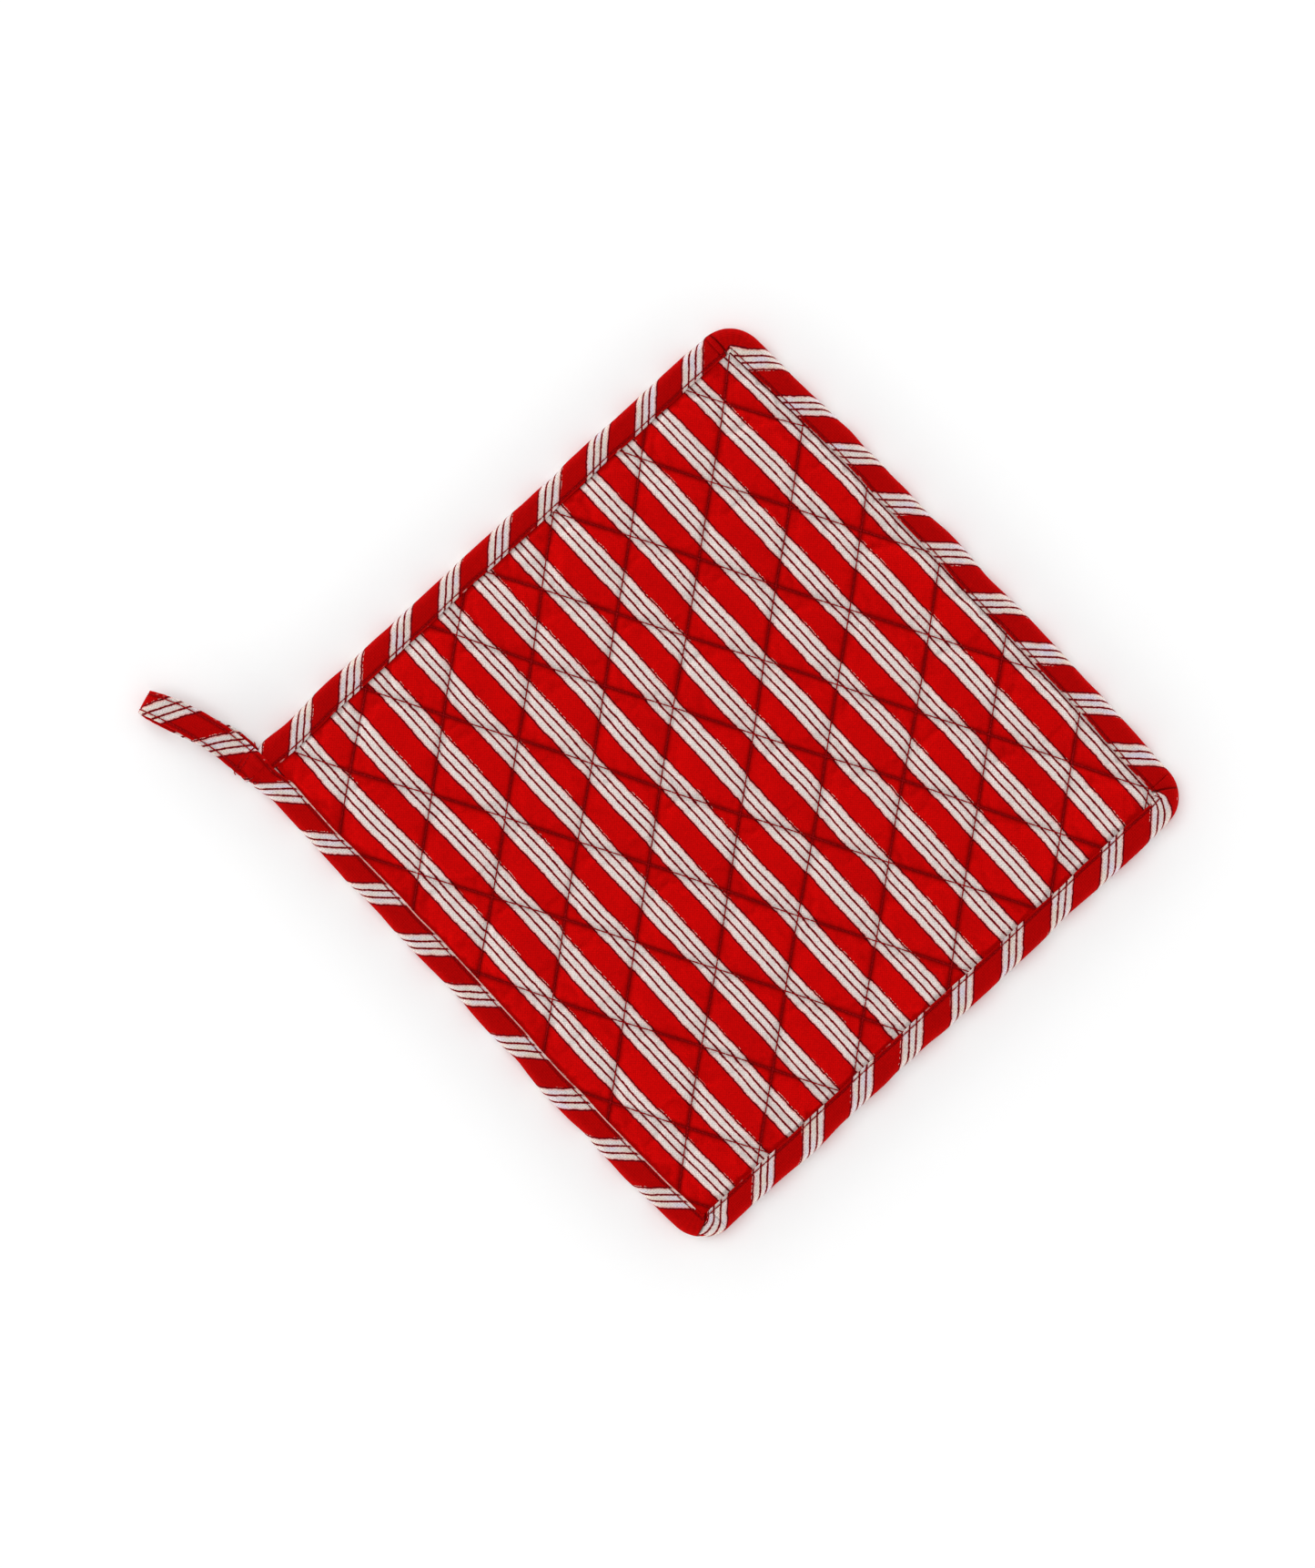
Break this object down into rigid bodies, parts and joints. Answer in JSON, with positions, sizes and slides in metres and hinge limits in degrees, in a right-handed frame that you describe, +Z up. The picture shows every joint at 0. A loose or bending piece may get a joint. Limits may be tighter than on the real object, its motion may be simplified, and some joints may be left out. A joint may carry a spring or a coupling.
{
  "type": "quilted pot holder",
  "caption": "Square quilted cotton pot holder with padded layers, a bound edge and a hinged hanging loop at one corner.",
  "frame": {"origin": "centre of the level part of the underside, on the surface that the pad lies on", "axes": "+Z up through the pad to its front face, +X and +Y along the pad's sides, with the hanging loop past the corner at -X, +Y"},
  "size_m": [0.2126, 0.2344, 0.009],
  "materials": {
    "printed_cotton": "block-printed plain-weave cotton, matte",
    "binding_cotton": "block-printed plain-weave cotton cut on the bias, matte",
    "cotton_wadding": "needled cotton fibre, matte",
    "insulating_fleece": "needle-punched fleece with a metallised film, satin",
    "sewing_thread": "twisted cotton thread, soft sheen"
  },
  "bodies": {
    "pad": {"front_cloth": "printed_cotton", "front_wadding": "cotton_wadding", "heat_barrier": "insulating_fleece", "back_wadding": "cotton_wadding", "back_cloth": "printed_cotton", "quilting_thread_steep_front": "sewing_thread", "quilting_thread_shallow_front": "sewing_thread", "quilting_thread_steep_back": "sewing_thread", "quilting_thread_shallow_back": "sewing_thread", "binding": "binding_cotton", "binding_stitching_front": "sewing_thread", "binding_stitching_back": "sewing_thread", "loop_tack_stitching": "sewing_thread"},
    "hanging_loop": {"hanging_loop": "binding_cotton", "loop_edge_stitching": "sewing_thread"}
  },
  "joints": [
    {"name": "loop_fold", "type": "hinge", "parent": "pad", "child": "hanging_loop", "pos_m": [-0.097, 0.1004, 0.0034], "axis": [0.9432, 0.3322, 0], "range_deg": [-90, 90]}
  ]
}
